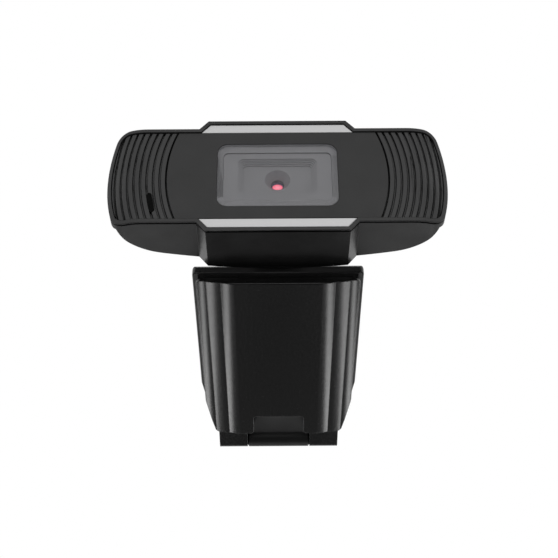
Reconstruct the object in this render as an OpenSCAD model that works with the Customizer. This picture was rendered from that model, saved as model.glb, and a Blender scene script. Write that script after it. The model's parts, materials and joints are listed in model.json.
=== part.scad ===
// Webcam with a wide ribbed head on a fold-out clip.
// Millimetres, +Z up, the lens looks along -Y. The closed clip lies flat on its
// leaf at Z = 0, and the origin is the middle of the footprint.

/* [Head] */
// Width of the head over its rounded ends
head_w = 98.8; // [96:0.2:104]
// Height of the side wings
wing_h = 34; // [33.2:0.1:35.6]
// Height of the raised middle section
mid_h = 40; // [39.4:0.1:41]
// Width of the middle section where it meets the wings
mid_w = 46; // [44:0.5:48]
// Sideways run of the middle section's slanted corners
mid_slant = 2.65; // [2.2:0.05:3.2]
// Depth of the head at its centre
head_d = 19; // [18.6:0.1:20.4]
// Radius of the curved rear wall in plan
rear_r = 150; // [145:1:190]
// Half width over which the rear wall keeps that radius
rear_flat = 34; // [33.6:0.1:35]
// Radius by which the rear wall rounds off towards the ends
rear_end_r = 17; // [16:0.1:18]
// Half width of the flat part of the front face
face_flat = 38.3; // [37.6:0.1:39]
// Radius by which the face falls back towards the ends
face_r = 16.9; // [16:0.1:18]
// Radius of the bulged ends, seen from the front
end_r = 50; // [47:0.5:54]
// Radius of the wing corners, seen from the front
corner_r = 4.7; // [4:0.1:5.4]
// Downward tilt of the head as it stands
head_tilt = 8; // [0:0.5:10]

/* [Front frame and skins] */
// Wall of the rear shell
wall = 1.7; // [1.5:0.1:1.8]
// Width of the front rim
rim_w = 1.2; // [1.1:0.05:1.35]
// Depth of the rim's outer edge
rim_d = 0.45; // [0.4:0.05:0.6]
// Width and depth of the dark seam behind the rim
seam = 0.6; // [0.5:0.05:0.7]
// Distance that the skins lie behind the rim's face
skin_set = 0.35; // [0.3:0.05:0.4]
// Thickness of the skins
skin_t = 1.8; // [1.7:0.05:1.9]
// Thickness of the carrier plate behind the skins
carrier_t = 1.2; // [1:0.1:1.4]
// Gap between neighbouring skins
skin_gap = 0.15; // [0.1:0.01:0.18]
// Gap between each silver trim strip and the centre panel
trim_gap = 0.08; // [0.04:0.01:0.12]

/* [Grille] */
// Radius of the arc that parts the centre panel from a grille
arc_r = 43.8; // [42:0.2:46]
// Half width of the centre panel at mid height
panel_half = 31.9; // [31:0.1:33]
// Distance from one rib to the next
rib_pitch = 1.88; // [1.8:0.02:2]
// Width of a rib
rib_w = 1.3; // [1.15:0.05:1.4]
// Depth of the grooves between ribs
groove_d = 0.9; // [0.6:0.05:1]
// Number of ribs on each side
rib_count = 10; // [8:1:10]
// Distance of the microphone slot beyond the parting arc
mic_set = 5.25; // [5:0.05:5.5]
// Width of the microphone slot
mic_slot_w = 1.5; // [1.2:0.05:1.8]
// Angle below level at which the slot starts
mic_from = 8.5; // [7.5:0.1:9.5]
// Angle below level at which the slot ends
mic_to = 14.6; // [13.6:0.1:15.6]

/* [Window and lens] */
// Width of the glass window
glass_w = 34.8; // [34:0.1:35.6]
// Height of the glass window
glass_h = 22.4; // [22:0.1:23]
// Corner radius of the glass window
glass_r = 3.2; // [3:0.1:3.6]
// Thickness of the glass window
glass_t = 0.8; // [0.7:0.05:0.85]
// Thickness of the grey tape that holds the glass
tape_t = 0.2; // [0.15:0.05:0.25]
// Ledge that the glass rests on at its left and right
side_ledge = 1.65; // [1.5:0.05:1.8]
// Ledge that the glass rests on at its top and bottom
end_ledge = 2.4; // [2.2:0.05:2.6]
// Width of the pocket behind the glass
pocket_w = 22.8; // [22:0.1:23.4]
// Height of the pocket behind the glass
pocket_h = 13; // [12.4:0.1:13.2]
// Depth of the pocket and run of its stepped walls
pocket_d = 1.8; // [1.6:0.05:1.9]
// Number of steps in the pocket's walls
pocket_steps = 5; // [4:1:6]
// Height of the lens axis above the head's centre
lens_z = 0.3; // [0:0.1:0.6]
// Radius of the lens cone at its mouth
cone_r = 3.75; // [3.6:0.05:3.9]
// Radius of the lens aperture
iris_r = 2; // [1.9:0.05:2.1]
// Outer radius of the lens barrel
barrel_r = 3; // [2.9:0.05:3.2]
// Length of the lens barrel
barrel_l = 3.9; // [3.6:0.1:4]
// Width of the square lens holder
holder_w = 12; // [11:0.2:13]

/* [Electronics] */
// Width of the circuit board
board_w = 50; // [46:0.5:52]
// Height of the circuit board
board_h = 25; // [24:0.5:26]
// Thickness of the circuit board
board_t = 1; // [0.8:0.1:1]
// Distance from the face to the front of the board
board_y = 12.2; // [12:0.1:12.4]
// Radius of the microphone capsule
capsule_r = 2; // [1.8:0.1:2.3]
// Length of the microphone capsule
capsule_l = 1.6; // [1.4:0.1:2]
// Radius of the cable inlet
inlet_r = 2.1; // [1.8:0.1:2.4]
// Sideways place of the cable inlet
inlet_x = 15; // [13:0.5:17]
// Height of the cable inlet above the head's centre
inlet_z = -4; // [-6:0.5:0]

/* [Tilt hinge] */
// Rise of the tilt axis above the clip plate
pivot_rise = 7.15; // [7:0.05:7.6]
// Setback of the tilt axis behind the plate's front edge
pivot_set = 3.5; // [3.4:0.05:4]
// Setback of the tilt axis behind the head's rear wall
lug_reach = 5.6; // [5.4:0.1:6]
// Height of the tilt axis above the head's centre
lug_z = -11.2; // [-11.6:0.1:-10.8]
// Radius of the lug and of the ears round the tilt axis
lug_r = 4; // [3.8:0.1:4.2]
// Width of the head's lug
lug_w = 8; // [7:0.5:9]
// Thickness of each ear on the clip plate
ear_w = 3.4; // [3:0.1:4]
// Thickness of the friction washers
washer_t = 0.3; // [0.3:0.05:0.5]
// Radius of the tilt screw
tilt_pin_r = 1.5; // [1.3:0.05:1.6]

/* [Clip plate] */
// Width of the clip plate
plate_w = 50.4; // [50:0.1:52]
// Thickness of the clip plate
plate_t = 3.4; // [3.2:0.1:3.8]
// Radius of the plate's upper edges
plate_edge_r = 1.5; // [1.2:0.1:1.8]
// Gap between the closed leaf and the plate
jaw_gap = 1.3; // [1.2:0.05:1.6]
// Width of the rails beside the pad
rail_w = 2; // [1.6:0.1:2.4]
// Depth of the pad's pocket
pad_pocket = 1.7; // [1.5:0.1:1.8]
// Thickness of the foam pad
pad_t = 1.5; // [1.3:0.1:1.5]

/* [Clip leaf] */
// Width of the leaf
leaf_w = 48.4; // [47.6:0.1:48.8]
// Length of the leaf from its free edge to its rear edge
leaf_l = 78.2; // [74:0.2:82]
// Setback of the leaf's free edge behind the plate's front edge
leaf_set = 0.8; // [0.4:0.1:1.6]
// Thickness of the leaf
leaf_t = 2.4; // [2.3:0.1:2.6]
// How far the side flanges lie back from the lower face of the leaf
flute_d = 1.1; // [1.05:0.05:1.2]
// Width of the bent stretch on each side of the leaf's flat middle
leaf_bend_w = 4.2; // [4:0.1:4.4]
// Radius by which the leaf's middle bends up at its sides
leaf_bend_r = 13; // [12:0.5:15]
// Width of the set-back step beyond that bend
step_w = 3.9; // [3.7:0.1:4.1]
// Radius of the step beside the leaf's middle
step_r = 18; // [16:0.5:22]
// Width of the side flange beyond the step
flange_w = 3.1; // [2.9:0.1:3.3]
// Radius of the leaf's lower front edge
leaf_nose_r = 0.4; // [0.3:0.05:0.5]
// Width of the notch at the leaf's rear edge
notch_w = 16.9; // [16:0.1:18]
// Depth of the notch at the leaf's rear edge
notch_d = 10.2; // [9:0.1:11]
// Thickness of the rubber pad inside the leaf
leaf_pad_t = 0.9; // [0.8:0.05:1]

/* [Clip hinge] */
// Distance from the leaf's rear edge to the hinge axis
hinge_set = 7.45; // [7:0.05:8]
// Outer radius of the knuckles
knuckle_r = 3.2; // [3.1:0.05:3.3]
// Radius of the hinge pin
hinge_pin_r = 1.5; // [1.3:0.05:1.6]
// Length of the whole barrel
knuckle_l = 40.8; // [40:0.2:42]
// Length of the middle knuckle
knuckle_mid = 20.9; // [20.5:0.1:22]
// Gap between knuckles
knuckle_gap = 0.3; // [0.25:0.05:0.4]

/* [Hidden] */
$fn = 96;
// Free play round pins that turn
pin_play = 0.05;
// Free play between pieces that slide together
play = 0.1;
// Overlap that makes a cut run past a face
cut = 1;
// Length that reaches past the whole head
far = 80;
// Least wall between the skins and the rear of the shell at the ends
end_wall = 0.8;

// Head: heights and the corner geometry of its outline
wing_half = wing_h / 2;
mid_half = mid_h / 2;
mid_rise = mid_half - wing_half;
slant_len = norm([mid_slant, mid_rise]);
slant_nx = mid_rise / slant_len;
slant_nz = mid_slant / slant_len;
slant_c = slant_nx * mid_w / 2 + slant_nz * wing_half;
end_cx = head_w / 2 - end_r;
corner_z = wing_half - corner_r;
corner_x = end_cx + sqrt(pow(end_r - corner_r, 2) - pow(corner_z, 2));
corner_angle = atan(corner_z / (corner_x - end_cx));

// Head: depths behind the front face
skin_back = skin_set + skin_t;
carrier_back = skin_back + carrier_t;
shell_front = rim_d + seam;
skin_inset = rim_w + skin_gap;
mouth_inset = rim_w + skin_gap / 2;
carrier_inset = wall + play;
end_depth = skin_back + end_wall;
rear_turn = asin(rear_flat / rear_r);
rear_end_x = (rear_r - rear_end_r) * sin(rear_turn);
rear_end_y = head_d - rear_r + (rear_r - rear_end_r) * cos(rear_turn);
trim_foot = wing_half - skin_inset + trim_gap;

// Grille arcs
arc_cx = panel_half - arc_r;
first_groove = 0.45;
rib_r0 = arc_r + first_groove;
mic_r = arc_r + mic_set;
mic_angle = (mic_from + mic_to) / 2;
mic_x = arc_cx + mic_r * cos(mic_angle);
mic_z = -mic_r * sin(mic_angle);
mic_boss_r = capsule_r + 0.8;
gasket_t = 0.6;

// Window and lens stack
glass_y = skin_set + 0.1;
lip_y = glass_y + glass_t + tape_t;
lip_w = glass_w - 2 * side_ledge;
lip_h = glass_h - 2 * end_ledge;
lip_r = glass_r / 2;
shroud_y = lip_y + 0.2;
flange_y = carrier_back;
flange_t = 1;
pocket_y = shroud_y + pocket_d;
cone_l = 2.6;
barrel_y = pocket_y + cone_l;
barrel_step = 0.3;
sensor_w = 7.2;
sensor_h = 6.4;
sensor_t = 0.9;
holder_y = barrel_y + 1.4;
holder_wall = 1.5;
collar_t = 1.2;
collar_l = 1;
filter_y = holder_y + 3;
filter_t = 0.3;
lens_t = 1;
front_lens_y = barrel_y + 0.9;
rear_lens_y = barrel_y + 2.8;

// Chip and cable socket on the board
chip_w = 7;
chip_t = 0.9;
chip_in = 9;
chip_x = chip_in - board_w / 2;
socket_w = 8;
socket_d = 3;
socket_h = 4;
socket_wall = 0.8;
socket_floor = 0.6;
socket_drop = 5;

// Screws that hold the rear shell and the board
shell_screw_x = 29.2;
shell_screw_z = 11;
shell_screw_r = 0.95;
shell_screw_head_r = 1.9;
shell_screw_head_t = 1.1;
shell_screw_l = 3;
shell_screw_sink = 1.6;
screw_seat = 1.4;
post_r = 2.4;
board_screw_x = board_w / 2 - 3;
board_screw_z = board_h / 2 - 3;

// Clip: heights above the table
plate_z = leaf_t + jaw_gap;
plate_top = plate_z + plate_t;
hinge_z = plate_z - 0.3;
leaf_rear = leaf_set + leaf_l;
hinge_u = leaf_rear + hinge_set;
plate_rear = hinge_u - knuckle_r - 2.3;
plate_fade = 54.5;
pad_front = 0.8;
pad_rear = leaf_rear - notch_d - 1.5;
leaf_taper = 61.5;
leaf_tip_in = 2.6;
leaf_tip_w = leaf_w - 2 * leaf_tip_in;
step_x = leaf_w / 2 - flange_w;
leaf_mid = step_x - step_w;
leaf_flat = leaf_mid - leaf_bend_w;
step_set = 0.55;
flange_bend_r = 9;
leaf_corner = 2;
leaf_tip_corner = 1.6;
leaf_shoulder = 6.4;
leaf_pad_lap = 3.9;
leaf_pad_w = 2 * (leaf_flat + leaf_pad_lap);
leaf_pad_l = 46;
leaf_pad_set = 5;
leaf_pad_r = 3;
outer_knuckle_x = knuckle_mid / 2 + knuckle_gap;
outer_knuckle_l = knuckle_l / 2 - outer_knuckle_x;
collar_r = knuckle_r - 0.6;
collar_reach = 0.5;
cap_r = 2.3;
cap_t = 1.2;

// Tilt hinge, and where the clip lies along Y
lug_y = head_d + lug_reach;
pivot_z = plate_top + pivot_rise;
ear_x = lug_w / 2 + washer_t + 2 * pin_play;
screw_head_r = 2.6;
screw_head_t = 1.4;
nut_r = 3;
nut_t = 1.6;
front_reach = lug_y * cos(head_tilt) + (mid_half - lug_z) * sin(head_tilt);
clip_y = -(hinge_u + knuckle_r + pivot_set - front_reach) / 2;
pivot_y = clip_y + pivot_set;

// ---------- frames and shared shapes ----------

// Places the head's own frame (face at Y = 0, centre at Z = 0) on the tilt axis
module in_head() {
    translate([0, pivot_y, pivot_z])
        rotate([head_tilt, 0, 0])
            translate([0, -lug_y, -lug_z])
                children();
}

// Places the clip's frame (plate's front edge at Y = 0) in the part's frame
module in_clip() {
    translate([0, clip_y, 0]) children();
}

// Extrudes a front view (X across, Y up) along +Y from depth a to depth b
module along_y(a, b) {
    translate([0, b, 0]) rotate([90, 0, 0]) linear_extrude(b - a) children();
}

// Extrudes a side view (X = along, Y = up) across X from a to b
module along_x(a, b) {
    translate([a, 0, 0]) rotate([90, 0, 90]) linear_extrude(b - a) children();
}

// A cylinder whose axis runs along Y
module rod_y(r, a, b, x = 0, z = 0) {
    translate([x, b, z]) rotate([90, 0, 0]) cylinder(r = r, h = b - a);
}

// A cylinder whose axis runs along X
module rod_x(r, a, b) {
    translate([a, 0, 0]) rotate([0, 90, 0]) cylinder(r = r, h = b - a);
}

// A rectangle with round corners, centred
module round_rect(w, h, r) {
    square([w - 2 * r, h], center = true);
    square([w, h - 2 * r], center = true);
    for (sx = [-1, 1], sy = [-1, 1])
        translate([sx * (w / 2 - r), sy * (h / 2 - r)]) circle(r);
}

// Front outline of the wings, drawn in by i all round
module wing_outline(i = 0) {
    square([2 * corner_x, wing_h - 2 * i], center = true);
    for (sx = [-1, 1]) {
        for (sz = [-1, 1])
            translate([sx * corner_x, sz * corner_z]) circle(corner_r - i);
        intersection() {
            translate([sx * end_cx, 0]) circle(end_r - i);
            translate([sx * end_cx, 0])
                polygon([[0, 0], [sx * far, far * tan(corner_angle)],
                         [sx * far, -far * tan(corner_angle)]]);
        }
    }
}

// Half width of the middle section at height z, drawn in by i
function mid_half_w(z, i) = (slant_c - i - slant_nz * z) / slant_nx;

// Front outline of the middle section between heights a and b
module mid_band(a, b, i) {
    polygon([[-mid_half_w(a, i), a], [mid_half_w(a, i), a],
             [mid_half_w(b, i), b], [-mid_half_w(b, i), b]]);
}

// Front outline of the whole head, drawn in by i all round
module head_outline(i = 0) {
    wing_outline(i);
    for (flip = [0, 1])
        mirror([0, flip]) mid_band(wing_half - i - 2 * cut, mid_half - i, i);
}

// Plan of all that lies further back than d behind the front face
module behind(d) {
    translate([0, d]) {
        translate([-face_flat, 0]) square([2 * face_flat, 2 * face_r]);
        for (sx = [-1, 1]) translate([sx * face_flat, face_r]) circle(face_r, $fn = 240);
    }
}

// Plan of the head between depth a behind the face and depth b behind it
module plan_layer(a, b) {
    difference() {
        behind(a);
        behind(b);
    }
}

// Cuts a front view to the layer between depths a and b behind the curved face
module face_layer(a, b) {
    intersection() {
        along_y(-cut, 2 * face_r) children();
        translate([0, 0, -far / 2]) linear_extrude(far) plan_layer(a, b);
    }
}

// ---------- front of the head ----------

module bezel_ring() {
    color("#2b2b2b") in_head() {
        face_layer(0, rim_d) difference() {
            head_outline();
            head_outline(rim_w);
        }
        face_layer(rim_d, shell_front) difference() {
            head_outline(seam);
            head_outline(rim_w);
        }
    }
}

// One half of the centre panel's front outline, bounded by its parting arc
module panel_half_outline(sx) {
    intersection() {
        translate([sx * arc_cx, 0]) circle(arc_r, $fn = 240);
        translate([sx * far / 2, 0]) square(far, center = true);
    }
}

module face_panel() {
    color("#3a3a3a") in_head() difference() {
        face_layer(skin_set, skin_back) intersection() {
            wing_outline(skin_inset);
            union() for (sx = [-1, 1]) panel_half_outline(sx);
        }
        along_y(glass_y - cut, lip_y) round_rect(glass_w + play, glass_h + play, glass_r);
        along_y(-cut, head_d) round_rect(lip_w, lip_h, lip_r);
    }
}

// Front outline of one grille, from its parting arc out to the rim
module grille_outline(sx) {
    intersection() {
        difference() {
            wing_outline(skin_inset);
            translate([sx * arc_cx, 0]) circle(arc_r + 2 * skin_gap, $fn = 240);
        }
        translate([sx * far / 2, 0]) square(far, center = true);
    }
}

// The ribs of one grille as rings about the parting arc's centre
module rib_rings(sx) {
    for (k = [0 : rib_count - 1])
        translate([sx * arc_cx, 0]) difference() {
            circle(rib_r0 + k * rib_pitch + rib_w, $fn = 240);
            circle(rib_r0 + k * rib_pitch, $fn = 240);
        }
}

module grille(sx) {
    face_layer(skin_set + groove_d, skin_back) grille_outline(sx);
    face_layer(skin_set, skin_back) intersection() {
        grille_outline(sx);
        rib_rings(sx);
    }
}

// The microphone slot, which lies along the ribs and has round ends
module mic_slot() {
    slot_l = 2 * mic_r * sin((mic_to - mic_from) / 2);
    translate([-mic_x, mic_z]) rotate(mic_angle) {
        square([mic_slot_w, slot_l], center = true);
        for (sz = [-1, 1]) translate([0, sz * slot_l / 2]) circle(mic_slot_w / 2);
    }
}

module grille_left() {
    color("#333333") in_head() difference() {
        grille(-1);
        along_y(-cut, head_d) mic_slot();
    }
}

module grille_right() {
    color("#333333") in_head() grille(1);
}

module trim_strip() {
    along_y(skin_set, skin_back)
        mid_band(trim_foot, mid_half - skin_inset, skin_inset);
}

module trim_top() {
    color("#d0d0d0") in_head() trim_strip();
}

module trim_bottom() {
    color("#d0d0d0") in_head() mirror([0, 0, 1]) trim_strip();
}

module window_glass() {
    color("#7c7c80", 0.5) in_head()
        along_y(glass_y, glass_y + glass_t) round_rect(glass_w, glass_h, glass_r);
}

module glass_tape() {
    color("#6f6f72") in_head() along_y(glass_y + glass_t, lip_y) difference() {
        round_rect(glass_w, glass_h, glass_r);
        round_rect(lip_w, lip_h, lip_r);
    }
}

// ---------- optics ----------

// The pocket behind the glass, whose walls close in by steps
module lens_pocket() {
    step = pocket_d / pocket_steps;
    for (k = [0 : pocket_steps - 1])
        along_y(shroud_y - cut, shroud_y + (k + 1) * step) translate([0, lens_z])
            round_rect(pocket_w - 2 * k * step, pocket_h - 2 * k * step,
                       glass_r / 2 - k * step / 3);
}

module lens_shroud() {
    color("#6f6f72") in_head() difference() {
        union() {
            along_y(shroud_y, flange_y) round_rect(lip_w - play, lip_h - play, lip_r);
            along_y(flange_y, flange_y + flange_t) round_rect(glass_w, glass_h, glass_r);
            rod_y(cone_r + 2, flange_y, barrel_y + lens_t, z = lens_z);
        }
        lens_pocket();
        translate([0, pocket_y, lens_z]) rotate([-90, 0, 0]) {
            translate([0, 0, -play])
                cylinder(r1 = cone_r, r2 = iris_r, h = barrel_y - pocket_y + play);
            cylinder(r = iris_r, h = head_d);
        }
        rod_y(barrel_r + play, barrel_y, head_d, z = lens_z);
    }
}

module lens_barrel() {
    color("#161616") in_head() difference() {
        union() {
            rod_y(barrel_r, barrel_y + play, barrel_y + play + barrel_l, z = lens_z);
            rod_y(barrel_r - barrel_step, barrel_y + play + barrel_l,
                  barrel_y + 2 * play + barrel_l + barrel_step, z = lens_z);
        }
        rod_y(iris_r, barrel_y - cut, head_d, z = lens_z);
    }
}

// A round lens with a domed front, y0 is the place of its rim
module lens_element(r, y0) {
    dome_r = 2.6 * r;
    dome_h = dome_r - sqrt(dome_r * dome_r - r * r);
    rod_y(r, y0, y0 + lens_t, z = lens_z);
    intersection() {
        translate([0, y0 + dome_r - dome_h, lens_z]) rotate([90, 0, 0])
            rotate_extrude() intersection() {
                circle(dome_r);
                translate([0, -far / 2]) square(far);
            }
        rod_y(r, y0 - dome_h - play, y0, z = lens_z);
    }
}

module front_lens() {
    color("#e07088") in_head() lens_element(iris_r - pin_play, front_lens_y);
}

module rear_lens() {
    color("#b8c8d8") in_head() lens_element(iris_r - pin_play, rear_lens_y);
}

module lens_holder() {
    color("#1c1c1c") in_head() difference() {
        union() {
            rod_y(barrel_r + collar_t, holder_y, holder_y + 2 * collar_l, z = lens_z);
            translate([-holder_w / 2, holder_y + collar_l, lens_z - holder_w / 2])
                cube([holder_w, board_y - holder_y - collar_l, holder_w]);
        }
        rod_y(barrel_r + pin_play, holder_y - cut, filter_y, z = lens_z);
        translate([holder_wall - holder_w / 2, filter_y - play, lens_z - holder_w / 2 + holder_wall])
            cube([holder_w - 2 * holder_wall, head_d, holder_w - 2 * holder_wall]);
    }
}

module ir_filter() {
    filter_w = holder_w - 2 * holder_wall - 2 * play;
    color("#9fb8c0") in_head()
        translate([-filter_w / 2, filter_y, lens_z - filter_w / 2])
            cube([filter_w, filter_t, filter_w]);
}

module image_sensor() {
    color("#4a4a55") in_head()
        translate([-sensor_w / 2, board_y - sensor_t, lens_z - sensor_h / 2])
            cube([sensor_w, sensor_t, sensor_h]);
}

// ---------- electronics ----------

module main_board() {
    color("#1f5a34") in_head() difference() {
        along_y(board_y, board_y + board_t) round_rect(board_w, board_h, 1.5);
        for (sx = [-1, 1], sz = [-1, 1])
            rod_y(shell_screw_r + play, board_y - cut, board_y + board_t + cut,
                  sx * board_screw_x, sz * board_screw_z);
    }
}

module controller_chip() {
    color("#151515") in_head()
        translate([chip_x, board_y + board_t, -chip_w / 2]) cube([chip_w, chip_t, chip_w]);
}

module cable_socket() {
    color("#e8e4d8") in_head() difference() {
        translate([inlet_x - socket_w / 2, board_y - socket_d, inlet_z - socket_drop])
            cube([socket_w, socket_d, socket_h]);
        translate([inlet_x - socket_w / 2 + socket_wall, board_y - socket_d + socket_floor,
                   inlet_z - socket_drop - cut])
            cube([socket_w - 2 * socket_wall, socket_d - 2 * socket_floor, socket_h]);
    }
}

module board_screws() {
    color("#9a9a9a") in_head()
        for (sx = [-1, 1], sz = [-1, 1]) {
            rod_y(shell_screw_head_r - 0.3, board_y + board_t, board_y + board_t + 0.7,
                  sx * board_screw_x, sz * board_screw_z);
            rod_y(shell_screw_r, board_y - 3, board_y + board_t,
                  sx * board_screw_x, sz * board_screw_z);
        }
}

// How far the front face has fallen back at distance x from the middle
function face_fall(x) = face_r - sqrt(face_r * face_r - pow(max(x - face_flat, 0), 2));

// Depth behind the face at which the microphone parts begin
mic_y = face_fall(mic_x + mic_boss_r) + carrier_back + pin_play;

module mic_gasket() {
    color("#202020") in_head() difference() {
        rod_y(capsule_r + 0.5, mic_y, mic_y + gasket_t, -mic_x, mic_z);
        rod_y(capsule_r - 0.6, mic_y - cut, mic_y + gasket_t + cut, -mic_x, mic_z);
    }
}

module mic_capsule() {
    color("#b0b0b0") in_head()
        rod_y(capsule_r, mic_y + gasket_t, mic_y + gasket_t + capsule_l, -mic_x, mic_z);
}

// ---------- carrier and rear shell ----------

module front_carrier() {
    color("#242424") in_head() difference() {
        union() {
            intersection() {
                face_layer(skin_back, carrier_back) head_outline(carrier_inset);
                translate([0, 0, -far / 2]) linear_extrude(far) before_rear(wall + play);
            }
            for (sx = [-1, 1], sz = [-1, 1]) {
                rod_y(post_r, skin_back + 1, post_end, sx * shell_screw_x, sz * shell_screw_z);
                rod_y(post_r - 0.4, skin_back + 0.2, board_y,
                      sx * board_screw_x, sz * board_screw_z);
            }
            rod_y(mic_boss_r, mic_y - carrier_t, mic_y, -mic_x, mic_z);
        }
        along_y(-cut, head_d) round_rect(lip_w, lip_h, lip_r);
        along_y(-cut, head_d) mic_slot();
        for (sx = [-1, 1], sz = [-1, 1]) {
            rod_y(shell_screw_r, post_end - 3.4, far, sx * shell_screw_x, sz * shell_screw_z);
            rod_y(shell_screw_r, board_y - 3.4, far, sx * board_screw_x, sz * board_screw_z);
        }
    }
}

// Rear face of the shell at distance x from the middle, and the posts' rear ends
function rear_y(x) = head_d - rear_r + sqrt(rear_r * rear_r - x * x);
post_end = rear_y(shell_screw_x + shell_screw_head_r) - shell_screw_sink - screw_seat;

// Plan of all that lies in front of the rear wall drawn in by i: one wide arc that
// turns into a smaller one towards each end
module before_rear(i = 0) {
    translate([0, head_d - rear_r]) intersection() {
        circle(rear_r - i, $fn = 480);
        polygon([[0, 0], [-2 * rear_r * sin(rear_turn), 2 * rear_r * cos(rear_turn)],
                 [2 * rear_r * sin(rear_turn), 2 * rear_r * cos(rear_turn)]]);
    }
    for (sx = [-1, 1])
        translate([sx * rear_end_x, rear_end_y]) circle(rear_end_r - i, $fn = 180);
}

module rear_shell() {
    color("#303030") in_head() difference() {
        union() {
            intersection() {
                along_y(0, far) head_outline();
                translate([0, 0, -far / 2]) linear_extrude(far) {
                    intersection() {
                        behind(shell_front);
                        before_rear();
                    }
                    plan_layer(shell_front, end_depth);
                }
            }
            tilt_lug();
            rod_y(inlet_r + 1.6, head_d - 2, head_d + 0.6, inlet_x, inlet_z);
        }
        difference() {
            intersection() {
                along_y(-cut, far) head_outline(wall);
                translate([0, 0, -far / 2]) linear_extrude(far) before_rear(wall);
            }
            for (sx = [-1, 1], sz = [-1, 1])
                rod_y(post_r + 0.4, post_end, far, sx * shell_screw_x, sz * shell_screw_z);
        }
        face_layer(-cut / 2, skin_back) head_outline(mouth_inset);
        rod_y(inlet_r, 0, head_d + cut, inlet_x, inlet_z);
        for (sx = [-1, 1], sz = [-1, 1]) {
            rod_y(shell_screw_r + play, 0, far, sx * shell_screw_x, sz * shell_screw_z);
            rod_y(shell_screw_head_r + play, post_end + screw_seat, far,
                  sx * shell_screw_x, sz * shell_screw_z);
        }
        translate([0, lug_y, lug_z]) rod_x(tilt_pin_r + pin_play, -lug_w, lug_w);
    }
}

// The lug behind the shell that the head tilts on
module tilt_lug() {
    along_x(-lug_w / 2, lug_w / 2) {
        translate([lug_y, lug_z]) circle(lug_r);
        translate([head_d - 1, lug_z - lug_r]) square([lug_reach + 1, 2 * lug_r]);
    }
}

module shell_screws() {
    color("#8c8c8c") in_head()
        for (sx = [-1, 1], sz = [-1, 1]) {
            rod_y(shell_screw_head_r, post_end + screw_seat,
                  post_end + screw_seat + shell_screw_head_t,
                  sx * shell_screw_x, sz * shell_screw_z);
            rod_y(shell_screw_r - pin_play, post_end - shell_screw_l, post_end + screw_seat,
                  sx * shell_screw_x, sz * shell_screw_z);
        }
}

module tilt_washers() {
    color("#c0c0c0") in_head() translate([0, lug_y, lug_z])
        for (sx = [0, 1]) mirror([sx, 0, 0]) difference() {
            rod_x(lug_r - 0.5, lug_w / 2 + pin_play, lug_w / 2 + pin_play + washer_t);
            rod_x(tilt_pin_r + pin_play, 0, lug_w);
        }
}

// ---------- clip plate ----------

// Plan of the clip plate with rounded front corners and a tapered rear
module plate_plan() {
    half = plate_w / 2;
    tip = leaf_tip_w / 2;
    corner = 1.2;
    polygon([[-half, corner], [-half, plate_fade], [-tip, plate_rear], [tip, plate_rear],
             [half, plate_fade], [half, corner], [half - corner, 0], [corner - half, 0]]);
    for (sx = [-1, 1]) translate([sx * (half - corner), corner]) circle(corner);
}

// Side view of the plate with its rounded upper front edge
module plate_side() {
    translate([0, plate_z]) {
        square([plate_rear + cut, plate_t - plate_edge_r]);
        translate([plate_edge_r, 0]) square([plate_rear, plate_t]);
        translate([plate_edge_r, plate_t - plate_edge_r]) circle(plate_edge_r);
    }
}

// Front view of the plate with its rounded upper side edges
module plate_front() {
    translate([0, plate_z]) {
        translate([-plate_w / 2, 0]) square([plate_w, plate_t - plate_edge_r]);
        translate([plate_edge_r - plate_w / 2, 0]) square([plate_w - 2 * plate_edge_r, plate_t]);
        for (sx = [-1, 1])
            translate([sx * (plate_w / 2 - plate_edge_r), plate_t - plate_edge_r])
                circle(plate_edge_r);
    }
}

// Plan of the pad's pocket, drawn in by i
module pad_plan(i = 0) {
    half = plate_w / 2 - rail_w - i;
    tip = leaf_tip_w / 2 - rail_w - i;
    rear_half = half - (half - tip) * (pad_rear - plate_fade) / (plate_rear - plate_fade);
    polygon([[-half, pad_front + i], [-half, plate_fade], [-rear_half, pad_rear - i],
             [rear_half, pad_rear - i], [half, plate_fade], [half, pad_front + i]]);
}

// One ear of the tilt hinge, from x = a outwards
module tilt_ear(sx) {
    mirror([sx, 0, 0]) along_x(ear_x, ear_x + ear_w) {
        translate([pivot_set, pivot_z]) circle(lug_r);
        polygon([[pivot_set - lug_r, pivot_z], [pivot_set + lug_r, pivot_z],
                 [pivot_set + lug_r + 2.5, plate_top - plate_edge_r],
                 [plate_edge_r, plate_top - plate_edge_r]]);
    }
}

module clip_plate() {
    color("#262626") in_clip() difference() {
        union() {
            intersection() {
                translate([0, 0, plate_z]) linear_extrude(plate_t) plate_plan();
                along_x(-plate_w, plate_w) plate_side();
                along_y(-cut, plate_rear + cut) plate_front();
            }
            for (sx = [0, 1]) tilt_ear(sx);
            along_x(-knuckle_mid / 2, knuckle_mid / 2) {
                translate([hinge_u, hinge_z]) circle(knuckle_r);
                polygon([[plate_rear - 3, plate_z], [hinge_u, hinge_z - 1],
                         [hinge_u, hinge_z + knuckle_r], [plate_rear - 3, plate_top - 0.4]]);
            }
            translate([0, hinge_u, hinge_z])
                rod_x(collar_r, -outer_knuckle_x - collar_reach, outer_knuckle_x + collar_reach);
        }
        translate([0, 0, plate_z - cut]) linear_extrude(pad_pocket + cut) pad_plan();
        translate([0, hinge_u, hinge_z]) rod_x(hinge_pin_r + pin_play, -plate_w, plate_w);
        translate([0, pivot_set, pivot_z]) {
            rod_x(tilt_pin_r + pin_play, -plate_w, plate_w);
            rod_x(screw_head_r + play, ear_x + ear_w - screw_head_t, plate_w);
            mirror([1, 0, 0]) translate([ear_x + ear_w - nut_t, 0, 0]) rotate([0, 90, 0])
                cylinder(r = nut_r + play, h = plate_w, $fn = 6);
        }
    }
}

module clip_pad() {
    color("#0c0c0c") in_clip()
        translate([0, 0, plate_z + pad_pocket - pad_t]) linear_extrude(pad_t) pad_plan(play);
}

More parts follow.
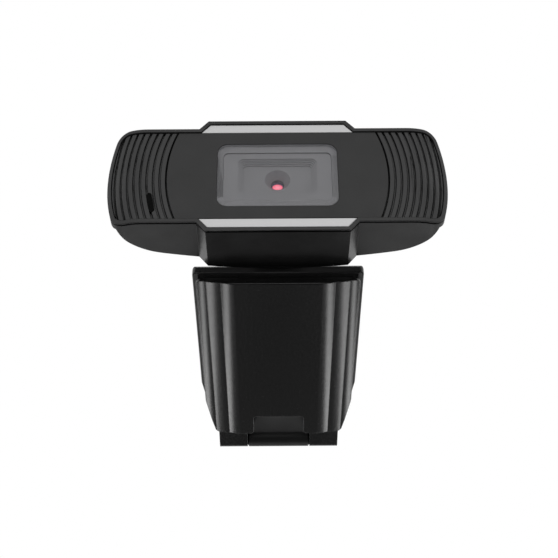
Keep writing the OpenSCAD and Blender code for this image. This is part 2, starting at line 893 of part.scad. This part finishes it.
module tilt_screw() {
    color("#8c8c8c") in_clip() translate([0, pivot_set, pivot_z]) {
        rod_x(tilt_pin_r, -ear_x - ear_w + 0.2, ear_x + ear_w - screw_head_t);
        difference() {
            rod_x(screw_head_r, ear_x + ear_w - screw_head_t, ear_x + ear_w - 0.1);
            translate([ear_x + ear_w - 0.9, -1.6, -0.3]) cube([cut, 3.2, 0.6]);
            translate([ear_x + ear_w - 0.9, -0.3, -1.6]) cube([cut, 0.6, 3.2]);
        }
    }
}

module tilt_nut() {
    color("#8c8c8c") in_clip() translate([0, pivot_set, pivot_z]) mirror([1, 0, 0])
        difference() {
            translate([ear_x + ear_w - nut_t, 0, 0]) rotate([0, 90, 0])
                cylinder(r = nut_r, h = nut_t - 0.1, $fn = 6);
            rod_x(tilt_pin_r + pin_play, 0, plate_w);
        }
}

module hinge_pin() {
    pin_l = knuckle_l - 2 * cap_t - 2 * play;
    color("#a0a0a0") in_clip() translate([0, hinge_u, hinge_z])
        rod_x(hinge_pin_r, -pin_l / 2, pin_l / 2);
}

// ---------- clip leaf ----------

// Part of the leaf's section between distances a and b from the centre, whose lower face
// starts level at height z over x and bends up by radius r
module leaf_strip(a, b, x, z, r) {
    for (sx = [0, 1]) mirror([sx, 0]) intersection() {
        translate([a, z]) square([b - a, leaf_t - z]);
        translate([x, z + r]) circle(r, $fn = 360);
    }
}

// Cross section of the leaf: flat middle with bent sides, a step and a side flange
module leaf_section() {
    half = leaf_w / 2;
    flange_r = 0.45;
    translate([-leaf_flat, 0]) square([2 * leaf_flat, leaf_t]);
    leaf_strip(leaf_flat - cut, leaf_mid, leaf_flat, 0, leaf_bend_r);
    leaf_strip(leaf_mid - cut, step_x, leaf_mid, step_set, step_r);
    leaf_strip(step_x - cut, half - flange_r, step_x, flute_d, flange_bend_r);
    for (sx = [-1, 1])
        translate([sx * (half - flange_r), leaf_t - flange_r]) circle(flange_r);
}

// Plan of the leaf, narrowing towards its rear corners
module leaf_plan() {
    half = leaf_w / 2;
    tip = leaf_tip_w / 2;
    front = leaf_corner;
    rear = leaf_tip_corner;
    polygon([[-half, leaf_set + front], [-half, leaf_taper],
             [-tip - 0.9, leaf_rear - leaf_shoulder], [-tip, leaf_rear - rear],
             [rear - tip, leaf_rear], [tip - rear, leaf_rear], [tip, leaf_rear - rear],
             [tip + 0.9, leaf_rear - leaf_shoulder], [half, leaf_taper],
             [half, leaf_set + front], [half - front, leaf_set], [front - half, leaf_set]]);
    for (sx = [-1, 1]) {
        translate([sx * (half - front), leaf_set + front]) circle(front);
        translate([sx * (tip - rear), leaf_rear - rear]) circle(rear);
    }
}

// Side view of the leaf with its rounded lower front edge
module leaf_side() {
    translate([leaf_set, 0]) {
        translate([leaf_nose_r, 0]) square([leaf_l, leaf_t]);
        translate([0, leaf_nose_r]) square([leaf_l, leaf_t - leaf_nose_r]);
        translate([leaf_nose_r, leaf_nose_r]) circle(leaf_nose_r);
    }
}

// The notch at the leaf's rear edge, rounded inside and at its mouth
module notch_plan() {
    r = 1.4;
    half = notch_w / 2;
    top = leaf_rear - notch_d;
    translate([-half, top + r]) square([notch_w, notch_d]);
    translate([r - half, top]) square([notch_w - 2 * r, notch_d]);
    for (sx = [-1, 1]) {
        translate([sx * (half - r), top + r]) circle(r);
        translate([sx * half, leaf_rear]) difference() {
            square(2 * r, center = true);
            translate([sx * r, -r]) circle(r);
        }
    }
}

// Side view of a knuckle arm, from under the leaf's rear edge to the barrel
module arm_side() {
    translate([hinge_u, hinge_z]) circle(knuckle_r);
    polygon([[leaf_rear - 4, flute_d], [leaf_rear, flute_d], [hinge_u, hinge_z - knuckle_r],
             [hinge_u, hinge_z], [hinge_u - knuckle_r, plate_z - 0.4],
             [leaf_rear - 4, leaf_t]]);
}

module leaf_pad_plan(i = 0) {
    translate([0, leaf_set + leaf_pad_set + leaf_pad_l / 2])
        round_rect(leaf_pad_w - 2 * i, leaf_pad_l - 2 * i, leaf_pad_r - i);
}

module clip_leaf() {
    color("#1a1a1a") in_clip() difference() {
        union() {
            intersection() {
                along_y(leaf_set, leaf_rear) leaf_section();
                along_x(-leaf_w, leaf_w) leaf_side();
                linear_extrude(leaf_t) difference() {
                    leaf_plan();
                    notch_plan();
                }
            }
            for (sx = [0, 1]) mirror([sx, 0, 0])
                along_x(outer_knuckle_x, outer_knuckle_x + outer_knuckle_l) arm_side();
        }
        translate([0, 0, leaf_t - leaf_pad_t + 0.3]) linear_extrude(leaf_t) leaf_pad_plan();
        translate([0, hinge_u, hinge_z]) {
            rod_x(hinge_pin_r + pin_play, -plate_w, plate_w);
            for (sx = [0, 1]) mirror([sx, 0, 0]) {
                rod_x(cap_r, knuckle_l / 2 - cap_t, plate_w);
                rod_x(collar_r + pin_play, 0, outer_knuckle_x + collar_reach + play);
            }
        }
    }
}

module leaf_pad() {
    color("#141414") in_clip() translate([0, 0, leaf_t - leaf_pad_t + 0.3])
        linear_extrude(leaf_pad_t) leaf_pad_plan(play);
}

module hinge_caps() {
    color("#202020") in_clip() translate([0, hinge_u, hinge_z])
        for (sx = [0, 1]) mirror([sx, 0, 0])
            rod_x(cap_r - pin_play, knuckle_l / 2 - cap_t, knuckle_l / 2 - 0.1);
}

bezel_ring();
face_panel();
grille_left();
grille_right();
trim_top();
trim_bottom();
window_glass();
glass_tape();
lens_shroud();
lens_barrel();
front_lens();
rear_lens();
ir_filter();
lens_holder();
image_sensor();
main_board();
controller_chip();
cable_socket();
board_screws();
mic_capsule();
mic_gasket();
front_carrier();
rear_shell();
shell_screws();
tilt_washers();
clip_plate();
clip_pad();
tilt_screw();
tilt_nut();
hinge_pin();
clip_leaf();
leaf_pad();
hinge_caps();
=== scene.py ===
"""Finishes, small forms, stage and lights for a webcam whose ribbed head sits on a fold-out clip."""
import json
import math

import bmesh
import bpy
from mathutils import Matrix, Vector


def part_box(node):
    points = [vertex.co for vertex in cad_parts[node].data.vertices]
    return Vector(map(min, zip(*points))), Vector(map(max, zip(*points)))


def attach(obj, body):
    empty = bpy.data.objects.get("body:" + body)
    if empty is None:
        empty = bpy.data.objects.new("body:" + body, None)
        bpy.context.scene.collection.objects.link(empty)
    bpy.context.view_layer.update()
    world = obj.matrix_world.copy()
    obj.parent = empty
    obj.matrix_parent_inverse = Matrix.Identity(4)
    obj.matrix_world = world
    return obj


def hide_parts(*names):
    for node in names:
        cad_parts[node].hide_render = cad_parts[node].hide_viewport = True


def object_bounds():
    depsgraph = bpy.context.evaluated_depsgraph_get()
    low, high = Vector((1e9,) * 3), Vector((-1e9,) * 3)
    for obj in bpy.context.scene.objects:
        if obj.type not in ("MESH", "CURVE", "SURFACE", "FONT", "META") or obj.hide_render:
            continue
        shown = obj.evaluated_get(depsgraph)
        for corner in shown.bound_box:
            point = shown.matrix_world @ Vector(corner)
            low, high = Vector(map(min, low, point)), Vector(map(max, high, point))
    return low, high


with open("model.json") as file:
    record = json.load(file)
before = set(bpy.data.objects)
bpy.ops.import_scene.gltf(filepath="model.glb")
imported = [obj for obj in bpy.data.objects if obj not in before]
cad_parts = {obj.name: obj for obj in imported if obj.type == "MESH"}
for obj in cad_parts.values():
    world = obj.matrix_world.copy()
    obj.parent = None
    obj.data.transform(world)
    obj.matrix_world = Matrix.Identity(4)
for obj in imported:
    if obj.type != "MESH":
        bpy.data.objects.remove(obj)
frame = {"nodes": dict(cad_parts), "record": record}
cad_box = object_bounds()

MM = 0.001
NODES = frame["nodes"]
# The head's cable inlet runs level with its lens axis, so it gives the head's tilt at rest
INLET = next(mount for mount in frame["record"]["mounts"] if mount["name"] == "cable_inlet")
HEAD_TILT = math.atan2(INLET["axis"][2], INLET["axis"][1])
HEAD_UP = Vector((0, -math.sin(HEAD_TILT), math.cos(HEAD_TILT)))
HEAD_OUT = Vector((0, -math.cos(HEAD_TILT), -math.sin(HEAD_TILT)))


def middle_of(name):
    """The middle of a CAD part's box."""
    low, high = (Vector(c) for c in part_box(name))
    return (low + high) / 2


# The lens sits a little above the head's centre line
LENS_RISE = 0.3 * MM
HEAD_LEVEL = middle_of("lens_barrel").dot(HEAD_UP) - LENS_RISE


# ---------- materials ----------

# Half width, half height and rise of the painted glint on the front lens: a pink reflection painted into the
# lens's colour
PAINTED_GLINT_HALF_W, PAINTED_GLINT_HALF_H, PAINTED_GLINT_RISE = 1.5 * MM, 0.95 * MM, 0.2 * MM


class Finish:
    """A node material under construction, with helpers for its patterns."""

    def __init__(self, name):
        self.material = bpy.data.materials.new(name)
        self.material.use_nodes = True
        self.nodes = self.material.node_tree.nodes
        self.links = self.material.node_tree.links
        self.shader = self.nodes["Principled BSDF"]
        self.place = self.nodes.new("ShaderNodeTexCoord").outputs["Object"]

    def link(self, out, socket):
        self.links.new(out, socket)

    def stretched(self, scale):
        """Object coordinates, scaled along each axis."""
        node = self.nodes.new("ShaderNodeMapping")
        node.inputs["Scale"].default_value = scale
        self.link(self.place, node.inputs["Vector"])
        return node.outputs["Vector"]

    def noise(self, size, detail=2.0, place=None, rough=0.5):
        """Noise whose blotches are about size metres across."""
        node = self.nodes.new("ShaderNodeTexNoise")
        node.inputs["Scale"].default_value = 1 / size
        node.inputs["Detail"].default_value = detail
        node.inputs["Roughness"].default_value = rough
        self.link(place or self.place, node.inputs["Vector"])
        return node.outputs["Fac"]

    def spread(self, value, low, high, from_low=0.3, from_high=0.7):
        """Rescales a pattern from from_low..from_high to low..high."""
        node = self.nodes.new("ShaderNodeMapRange")
        node.inputs["From Min"].default_value = from_low
        node.inputs["From Max"].default_value = from_high
        node.inputs["To Min"].default_value = low
        node.inputs["To Max"].default_value = high
        self.link(value, node.inputs["Value"])
        return node.outputs["Result"]

    def math(self, kind, a, b=0.0):
        """The result of a sum on two patterns or numbers."""
        node = self.nodes.new("ShaderNodeMath")
        node.operation = kind
        for socket, value in zip(node.inputs, (a, b)):
            if isinstance(value, (int, float)):
                socket.default_value = value
            else:
                self.link(value, socket)
        return node.outputs["Value"]

    def between(self, value, first, second):
        """Mixes two colours by a pattern."""
        node = self.nodes.new("ShaderNodeMix")
        node.data_type = "RGBA"
        for socket, colour in ((node.inputs["A"], first), (node.inputs["B"], second)):
            if isinstance(colour, tuple):
                socket.default_value = (*colour, 1)
            else:
                self.link(colour, socket)
        self.link(value, node.inputs["Factor"])
        return node.outputs["Result"]

    def axes(self):
        """The three coordinates as separate values."""
        node = self.nodes.new("ShaderNodeSeparateXYZ")
        self.link(self.place, node.inputs["Vector"])
        return node.outputs

    def facing_out(self):
        """One where a surface faces along the lens axis, nought where it stands upright to it."""
        node = self.nodes.new("ShaderNodeVectorMath")
        node.operation = "DOT_PRODUCT"
        self.link(self.nodes.new("ShaderNodeNewGeometry").outputs["True Normal"], node.inputs[0])
        node.inputs[1].default_value = HEAD_OUT
        return self.math("ABSOLUTE", node.outputs["Value"])

    def head_height(self):
        """Height along the tilted head, measured from its centre line."""
        axes = self.axes()
        rise = self.math("MULTIPLY", axes["Z"], math.cos(HEAD_TILT))
        lean = self.math("MULTIPLY", axes["Y"], math.sin(HEAD_TILT))
        return self.math("SUBTRACT", self.math("SUBTRACT", rise, lean), HEAD_LEVEL)

    def edge(self, radius, samples=6):
        """A normal that is rounded at sharp edges."""
        node = self.nodes.new("ShaderNodeBevel")
        node.samples = samples
        node.inputs["Radius"].default_value = radius
        return node.outputs["Normal"]

    def bump(self, height, depth, normal=None):
        """Raises the surface by a height pattern of the given depth in metres."""
        node = self.nodes.new("ShaderNodeBump")
        node.inputs["Distance"].default_value = depth
        self.link(height, node.inputs["Height"])
        if normal:
            self.link(normal, node.inputs["Normal"])
        return node.outputs["Normal"]

    def set(self, **values):
        """Sets sockets of the surface shader, linked or constant."""
        for name, value in values.items():
            socket = self.shader.inputs[name.replace("_", " ")]
            if isinstance(value, bpy.types.NodeSocket):
                self.link(value, socket)
            elif isinstance(value, tuple) and len(value) == 3:
                socket.default_value = (*value, 1)
            else:
                socket.default_value = value
        return self.material


def grey(level, tint=0.0):
    """A grey of that level, with a share more blue where tint is given."""
    return (level, level, level * (1 + tint))


# Sizes that the finishes share: the grain of moulded plastic and the cloudiness of a large face
GRAIN, CLOUD = 0.22 * MM, 9 * MM


def moulded(name, level, rough, depth=0.012 * MM, gloss=0.5):
    """Moulded black plastic: a fine spark-eroded grain, faint cloudiness and rounded edges."""
    finish = Finish(name)
    grain_map = finish.noise(GRAIN, 3.0)
    cloud = finish.noise(CLOUD, 3.0)
    shade = finish.math("MULTIPLY", grain_map, finish.spread(cloud, 0.9, 1.1))
    return finish.set(
        Base_Color=finish.between(finish.spread(shade, 0, 1), grey(level * 0.82), grey(level * 1.18, 0.03)),
        Roughness=finish.spread(cloud, rough - 0.04, rough + 0.05),
        Specular_IOR_Level=gloss,
        Normal=finish.bump(grain_map, depth, finish.edge(0.18 * MM)),
    )


def polished(name, level, rough):
    """Smooth gloss plastic with the faint unevenness and dust that shows in its reflections."""
    finish = Finish(name)
    swell = finish.noise(4 * MM, 2.0)
    dust = finish.noise(0.6 * MM, 4.0)
    return finish.set(
        Base_Color=finish.between(finish.spread(dust, 0, 1, 0.45, 0.8), grey(level), grey(level * 1.5)),
        Roughness=finish.spread(dust, rough, rough + 0.07, 0.4, 0.75),
        Specular_IOR_Level=0.5,
        Normal=finish.bump(swell, 0.01 * MM, finish.edge(0.2 * MM)),
    )


# Half height of the head at its wings, past which its middle stands proud
WING_HALF = 17 * MM


def shell_plastic():
    """Grained plastic on the wings, smooth and darker where the middle stands proud of them."""
    finish = Finish("shell_plastic")
    height = finish.math("ABSOLUTE", finish.head_height())
    proud = finish.spread(height, 0, 1, WING_HALF, WING_HALF + 0.3 * MM)
    grain_map = finish.noise(GRAIN, 3.0)
    cloud = finish.noise(CLOUD, 3.0)
    wings = finish.between(finish.spread(grain_map, 0, 1), grey(0.0115), grey(0.0165, 0.03))
    middle = finish.between(finish.spread(grain_map, 0, 1), grey(0.0025), grey(0.004))
    return finish.set(
        Base_Color=finish.between(proud, wings, middle),
        Roughness=finish.math("SUBTRACT", finish.spread(cloud, 0.5, 0.58),
                              finish.math("MULTIPLY", proud, 0.32)),
        Specular_IOR_Level=0.4,
        Normal=finish.bump(grain_map, 0.01 * MM, finish.edge(0.12 * MM)),
    )


def silver_paint():
    """Satin silver paint over plastic, with the flake that makes it glitter a little."""
    finish = Finish("satin_silver_paint")
    flake = finish.noise(0.12 * MM, 2.0)
    return finish.set(
        Base_Color=finish.between(finish.spread(flake, 0, 1), (0.57, 0.57, 0.575), (0.66, 0.66, 0.66)),
        Roughness=finish.spread(flake, 0.34, 0.46),
        Metallic=0.15,
        Normal=finish.bump(flake, 0.004 * MM, finish.edge(0.15 * MM)),
    )


def cover_glass():
    """Smoked cover glass: clear enough on its faces to show the shroud, closed at its ground edges."""
    finish = Finish("cover_glass")
    smear = finish.noise(6 * MM, 3.0)
    return finish.set(
        Base_Color=finish.between(finish.spread(smear, 0, 1), (0.235, 0.235, 0.245), (0.255, 0.255, 0.27)),
        Roughness=finish.spread(smear, 0.04, 0.08),
        Alpha=finish.spread(finish.facing_out(), 0.97, 0.16, 0.4, 0.8),
        IOR=1.5,
    )


def coated_lens_painted_glint():
    """Dark glass with a painted pink oval, a painted reflection of its coating that also glows, a little
    above the head's centre line.
    """
    finish = Finish("coated_lens_painted_glint")
    across = finish.math("DIVIDE", finish.axes()["X"], PAINTED_GLINT_HALF_W)
    height = finish.math("DIVIDE", finish.math("ADD", finish.head_height(), -PAINTED_GLINT_RISE), PAINTED_GLINT_HALF_H)
    squares = [finish.math("POWER", finish.math("ABSOLUTE", way), 2.0) for way in (across, height)]
    reach = finish.math("SQRT", finish.math("ADD", *squares))
    # Painted reflection: a pink oval in the base colour, brightest at its middle
    painted_glint_glow = finish.between(finish.spread(reach, 0, 1, 0.0, 0.8), (1.0, 0.30, 0.40), (1.0, 0.13, 0.22))
    colour = finish.between(finish.spread(reach, 0, 1, 0.92, 1.06), painted_glint_glow, (0.035, 0.022, 0.045))
    return finish.set(
        Base_Color=colour,
        Roughness=0.08,
        Coat_Weight=1.0,
        # The painted pink oval also glows by emission, though the lens is no lamp
        Emission_Color=colour,
        Emission_Strength=0.85,
    )


def clear_lens():
    """Clear glass with a cool tint, for the inner lens and the filter."""
    finish = Finish("clear_lens")
    smear = finish.noise(2 * MM)
    return finish.set(
        Base_Color=finish.between(smear, (0.75, 0.85, 0.92), (0.85, 0.92, 0.95)),
        Roughness=0.03,
        Alpha=0.4,
    )


def plated_steel():
    """Zinc-plated steel with fine marks drawn out along its length."""
    finish = Finish("zinc_plated_steel")
    brushed = finish.noise(0.3 * MM, 3.0, finish.stretched((0.15, 1, 1)))
    return finish.set(
        Base_Color=finish.between(brushed, (0.45, 0.45, 0.46), (0.62, 0.62, 0.62)),
        Metallic=1.0,
        Roughness=finish.spread(brushed, 0.25, 0.42),
        Normal=finish.bump(brushed, 0.004 * MM, finish.edge(0.1 * MM)),
    )


def flat_part(name, first, second, rough, size=0.8 * MM, depth=0.01 * MM):
    """A plain inner part: two close colours in a fine mottle."""
    finish = Finish(name)
    mottle = finish.noise(size, 3.0)
    return finish.set(
        Base_Color=finish.between(finish.spread(mottle, 0, 1), first, second),
        Roughness=finish.spread(mottle, rough - 0.05, rough + 0.05),
        Normal=finish.bump(mottle, depth),
    )


def foam_rubber():
    """Black foam with a fuzzy nap that takes up the light."""
    finish = Finish("fuzzy_foam_rubber")
    nap = finish.noise(0.4 * MM, 5.0, rough=0.7)
    return finish.set(
        Base_Color=finish.between(finish.spread(nap, 0, 1), grey(0.004), grey(0.016)),
        Roughness=0.95,
        Specular_IOR_Level=0.15,
        Sheen_Weight=0.06,
        Normal=finish.bump(nap, 0.25 * MM),
    )


# Turns of the weave's waves per metre, for threads 0.15 mm apart
THREAD = 2 * math.pi / (0.15 * MM)


def woven_gauze():
    """Black acoustic cloth: two sets of fine threads that cross."""
    finish = Finish("woven_gauze")
    warp = finish.math("SINE", finish.math("MULTIPLY", finish.axes()["X"], THREAD))
    weft = finish.math("SINE", finish.math("MULTIPLY", finish.head_height(), THREAD))
    weave = finish.math("MULTIPLY", warp, weft)
    return finish.set(
        Base_Color=finish.between(finish.spread(weave, 0, 1, -1.0, 1.0), grey(0.0015), grey(0.005)),
        Roughness=0.95,
        Specular_IOR_Level=0.1,
        Normal=finish.bump(weave, 0.02 * MM),
    )


FINISHES = {
    "shell_black": shell_plastic(),
    "face_black": moulded("face_plastic", 0.0095, 0.5, gloss=0.36),
    "grille_black": moulded("grille_plastic", 0.014, 0.42, depth=0.006 * MM, gloss=0.4),
    "silver_trim": silver_paint(),
    "window": cover_glass(),
    # The shroud's grey is painted lighter than its own to make up for the shade in the pocket behind the
    # glass: painted light
    "shroud_grey": flat_part("matte_grey_shroud_painted_light", grey(0.26, 0.04), grey(0.29, 0.04), 0.6, 0.4 * MM),
    "lens_black": flat_part("lens_barrel_black", grey(0.01), grey(0.02), 0.5, 0.3 * MM),
    "lens_coated": coated_lens_painted_glint(),
    "lens_clear": clear_lens(),
    "sensor": flat_part("sensor_face", (0.10, 0.09, 0.15), (0.14, 0.13, 0.18), 0.2, 0.3 * MM),
    "circuit_board": flat_part("green_solder_mask", (0.012, 0.10, 0.035), (0.02, 0.16, 0.06), 0.3),
    "chip_black": flat_part("moulded_epoxy", grey(0.02), grey(0.035), 0.55, 0.3 * MM),
    "connector": flat_part("natural_nylon", (0.72, 0.68, 0.58), (0.82, 0.78, 0.70), 0.5),
    "steel": plated_steel(),
    "carrier_black": moulded("carrier_plastic", 0.02, 0.55),
    "rubber": flat_part("soft_rubber", grey(0.012), grey(0.022), 0.8, 0.3 * MM, 0.03 * MM),
    "foam": foam_rubber(),
    "clip_black": moulded("clip_plastic", 0.01, 0.38, depth=0.006 * MM),
    "leaf_gloss": polished("leaf_plastic", 0.0062, 0.21),
}


# The material slot of each CAD part, before its finish takes the slot's place
SLOT_OF = {name: node.data.materials[0].name.split(".")[0] for name, node in NODES.items()}


def dress_nodes():
    """Gives every carried-over solid the finish of its material slot."""
    for name, node in NODES.items():
        node.data.materials.clear()
        node.data.materials.append(FINISHES[SLOT_OF[name]])


dress_nodes()


# ---------- moulded edges ----------

# Corners closer than this are one corner
MERGE = 0.0005 * MM
# Faces larger than this are the flat ones, in square millimetres
FLAT_AREA = 6.0
SHARP = math.radians(30)
COPLANAR = math.radians(0.2)
BODY_OF = {name: body for body, names in frame["record"]["behaviour"]["bodies"].items() for name in names}


def placed(mesh, name, body):
    """Puts a finished mesh in the scene as a piece that rides on a body."""
    piece = bpy.data.objects.new(name, mesh)
    bpy.context.scene.collection.objects.link(piece)
    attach(piece, body)
    return piece


def soft_edges(name, width, segments):
    """A copy of a CAD part whose sharp corners are rounded as moulding leaves them."""
    source = NODES[name]
    bm = bmesh.new()
    bm.from_mesh(source.data)
    bmesh.ops.remove_doubles(bm, verts=bm.verts, dist=MERGE)
    bmesh.ops.dissolve_limit(bm, angle_limit=COPLANAR, verts=bm.verts, edges=bm.edges)
    mesh = bpy.data.meshes.new(name + "_soft")
    bm.to_mesh(mesh)
    bm.free()
    flat = FLAT_AREA * MM * MM
    mesh.polygons.foreach_set("use_smooth", [f.area < flat or len(f.vertices) == 4 for f in mesh.polygons])
    mesh.set_sharp_from_angle(angle=SHARP)
    mesh.materials.append(source.data.materials[0])
    piece = placed(mesh, name + "_soft", BODY_OF[name])
    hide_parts(name)
    bevel = piece.modifiers.new("rounded_edges", "BEVEL")
    bevel.width, bevel.segments = width, segments
    bevel.limit_method, bevel.angle_limit = "ANGLE", SHARP
    bevel.use_clamp_overlap = False
    bevel.harden_normals = True


# Radius of each part's edges in millimetres, and the steps it takes
for part, edge_r, steps in (
    ("bezel_ring", 0.12, 2), ("face_panel", 0.16, 2), ("grille_left", 0.2, 2), ("grille_right", 0.2, 2),
    ("trim_top", 0.15, 2), ("trim_bottom", 0.15, 2), ("clip_plate", 0.35, 3),
):
    soft_edges(part, edge_r * MM, steps)


# The gauze in the microphone slot: width, depth and length, its turn along the ribs, and how far
# it lies in front of the gasket's middle
GAUZE_SIZE = (1.55 * MM, 0.5 * MM, 6.5 * MM)
GAUZE_TURN = math.radians(-11.6)
GAUZE_SET = 2.95 * MM


def mic_gauze():
    """The black gauze that fills the microphone slot just below the tops of the ribs."""
    bm = bmesh.new()
    bmesh.ops.create_cube(bm, size=1.0)
    bmesh.ops.scale(bm, verts=bm.verts, vec=GAUZE_SIZE)
    through = [e for e in bm.edges if abs((e.verts[0].co - e.verts[1].co).y) > GAUZE_SIZE[1] / 2]
    bmesh.ops.bevel(bm, geom=through, offset=0.55 * MM, segments=5, affect="EDGES", profile=0.5, material=-1)
    rims = [e for e in bm.edges if e.verts[0].co.y < 0 and e.verts[1].co.y < 0]
    bmesh.ops.bevel(bm, geom=rims, offset=0.06 * MM, segments=2, affect="EDGES", profile=0.5, material=-1)
    turn = Matrix.Rotation(HEAD_TILT, 4, "X") @ Matrix.Rotation(GAUZE_TURN, 4, "Y")
    bmesh.ops.transform(bm, matrix=turn, verts=bm.verts)
    bmesh.ops.translate(bm, verts=bm.verts, vec=middle_of("mic_gasket") + HEAD_OUT * GAUZE_SET)
    mesh = bpy.data.meshes.new("mic_gauze")
    bm.to_mesh(mesh)
    bm.free()
    mesh.materials.append(woven_gauze())
    placed(mesh, "mic_gauze", "head")


mic_gauze()


# ---------- stage ----------

# Brightness of the studio as a surface receives it
FILL_LIGHT = 0.55
# Heights of a mirrored direction at which the studio turns dark and white, and how dark it gets
GLOSS_DARK_Z, GLOSS_WHITE_Z, GLOSS_DARK = -0.6, 0.15, 0.02
FLOOR_HALF, FLOOR_DROP = 1.6, 0.3 * MM
MIDDLE = (cad_box[0] + cad_box[1]) / 2


def world_light():
    """White to the eye, plain grey light on the object, and darker below the horizon in gloss."""
    world = bpy.data.worlds.new("studio")
    bpy.context.scene.world = world
    world.use_nodes = True
    nodes, links = world.node_tree.nodes, world.node_tree.links
    nodes.clear()
    output = nodes.new("ShaderNodeOutputWorld")
    path = nodes.new("ShaderNodeLightPath")
    place = nodes.new("ShaderNodeTexCoord")
    split = nodes.new("ShaderNodeSeparateXYZ")
    links.new(place.outputs["Generated"], split.inputs["Vector"])
    ramp = nodes.new("ShaderNodeMapRange")
    ramp.interpolation_type = "SMOOTHSTEP"
    ramp.inputs["From Min"].default_value = GLOSS_DARK_Z
    ramp.inputs["From Max"].default_value = GLOSS_WHITE_Z
    ramp.inputs["To Min"].default_value = GLOSS_DARK
    ramp.inputs["To Max"].default_value = 1.0
    links.new(split.outputs["Z"], ramp.inputs["Value"])
    seen = nodes.new("ShaderNodeMath")
    seen.operation = "MAXIMUM"
    links.new(path.outputs["Is Camera Ray"], seen.inputs[0])
    links.new(path.outputs["Is Transmission Ray"], seen.inputs[1])
    fill, gloss, white = (nodes.new("ShaderNodeBackground") for _ in range(3))
    fill.inputs["Strength"].default_value = FILL_LIGHT
    links.new(ramp.outputs["Result"], gloss.inputs["Strength"])
    for shader in (fill, gloss, white):
        shader.inputs["Color"].default_value = (1, 1, 1, 1)
    first, second = (nodes.new("ShaderNodeMixShader") for _ in range(2))
    links.new(path.outputs["Is Glossy Ray"], first.inputs["Fac"])
    links.new(fill.outputs["Background"], first.inputs[1])
    links.new(gloss.outputs["Background"], first.inputs[2])
    links.new(seen.outputs["Value"], second.inputs["Fac"])
    links.new(first.outputs["Shader"], second.inputs[1])
    links.new(white.outputs["Background"], second.inputs[2])
    links.new(second.outputs["Shader"], output.inputs["Surface"])


def soft_lamp(name, way, distance, width, height, radiance):
    """A soft box in direction way from the object, facing it, of a plain radiance."""
    data = bpy.data.lights.new(name, "AREA")
    data.shape = "RECTANGLE"
    data.size, data.size_y = width, height
    data.energy = radiance * math.pi * width * height
    lamp = bpy.data.objects.new(name, data)
    bpy.context.scene.collection.objects.link(lamp)
    way = Vector(way).normalized()
    lamp.rotation_mode = "QUATERNION"
    lamp.rotation_quaternion = way.to_track_quat("Z", "Y")
    lamp.location = MIDDLE + way * distance
    lamp.visible_camera = False


def pale_floor():
    """A pale floor under the object. It shows from above only, so the low camera looks past it."""
    mesh = bpy.data.meshes.new("floor")
    bm = bmesh.new()
    bmesh.ops.create_grid(bm, x_segments=1, y_segments=1, size=FLOOR_HALF)
    bmesh.ops.translate(bm, verts=bm.verts, vec=(0, 0, -FLOOR_DROP))
    bm.to_mesh(mesh)
    bm.free()
    floor = bpy.data.objects.new("floor", mesh)
    bpy.context.scene.collection.objects.link(floor)
    material = bpy.data.materials.new("pale_floor")
    material.use_nodes = True
    nodes, links = material.node_tree.nodes, material.node_tree.links
    surface = nodes["Principled BSDF"]
    surface.inputs["Base Color"].default_value = (0.86, 0.86, 0.86, 1)
    surface.inputs["Roughness"].default_value = 0.9
    surface.inputs["Specular IOR Level"].default_value = 0.0
    clear = nodes.new("ShaderNodeBsdfTransparent")
    path, side = nodes.new("ShaderNodeLightPath"), nodes.new("ShaderNodeNewGeometry")
    above, mix = nodes.new("ShaderNodeMath"), nodes.new("ShaderNodeMixShader")
    above.operation = "GREATER_THAN"
    links.new(path.outputs["Is Camera Ray"], above.inputs[0])
    links.new(side.outputs["Backfacing"], above.inputs[1])
    links.new(above.outputs["Value"], mix.inputs["Fac"])
    links.new(clear.outputs["BSDF"], mix.inputs[1])
    links.new(surface.outputs["BSDF"], mix.inputs[2])
    links.new(mix.outputs["Shader"], nodes["Material Output"].inputs["Surface"])
    mesh.materials.append(material)


# Where the camera stands and its lens, both in millimetres, and how it is turned in degrees
CAMERA_PLACE = (-0.93, -277.78, -213.71)
CAMERA_TURN = (131.193, 0.402, 0.075)
SENSOR, FOCAL = 36, 72.39


def low_camera():
    """A long lens in front of the object and below it, looking up at its face."""
    data = bpy.data.cameras.new("camera")
    data.sensor_width, data.lens = SENSOR, FOCAL
    data.clip_start, data.clip_end = 0.02, 20
    camera = bpy.data.objects.new("camera", data)
    bpy.context.scene.collection.objects.link(camera)
    camera.location = [place * MM for place in CAMERA_PLACE]
    camera.rotation_euler = [math.radians(turn) for turn in CAMERA_TURN]
    bpy.context.scene.camera = camera


world_light()
pale_floor()
low_camera()

# One box lights the face, one the top, and two strips draw the lines along the leaf's bends
soft_lamp("key_box", (0, -0.93, 0.1), distance=0.75, width=0.6, height=0.45, radiance=1.3)
for side, x in (("left_strip", -0.305), ("right_strip", 0.305)):
    soft_lamp(side, (x, 0.75, -0.59), distance=0.6, width=0.08, height=0.4, radiance=4.4)
soft_lamp("top_box", (0.1, 0.35, 1.0), distance=0.8, width=0.7, height=0.6, radiance=1.6)

view = bpy.context.scene.view_settings
view.view_transform = "Standard"
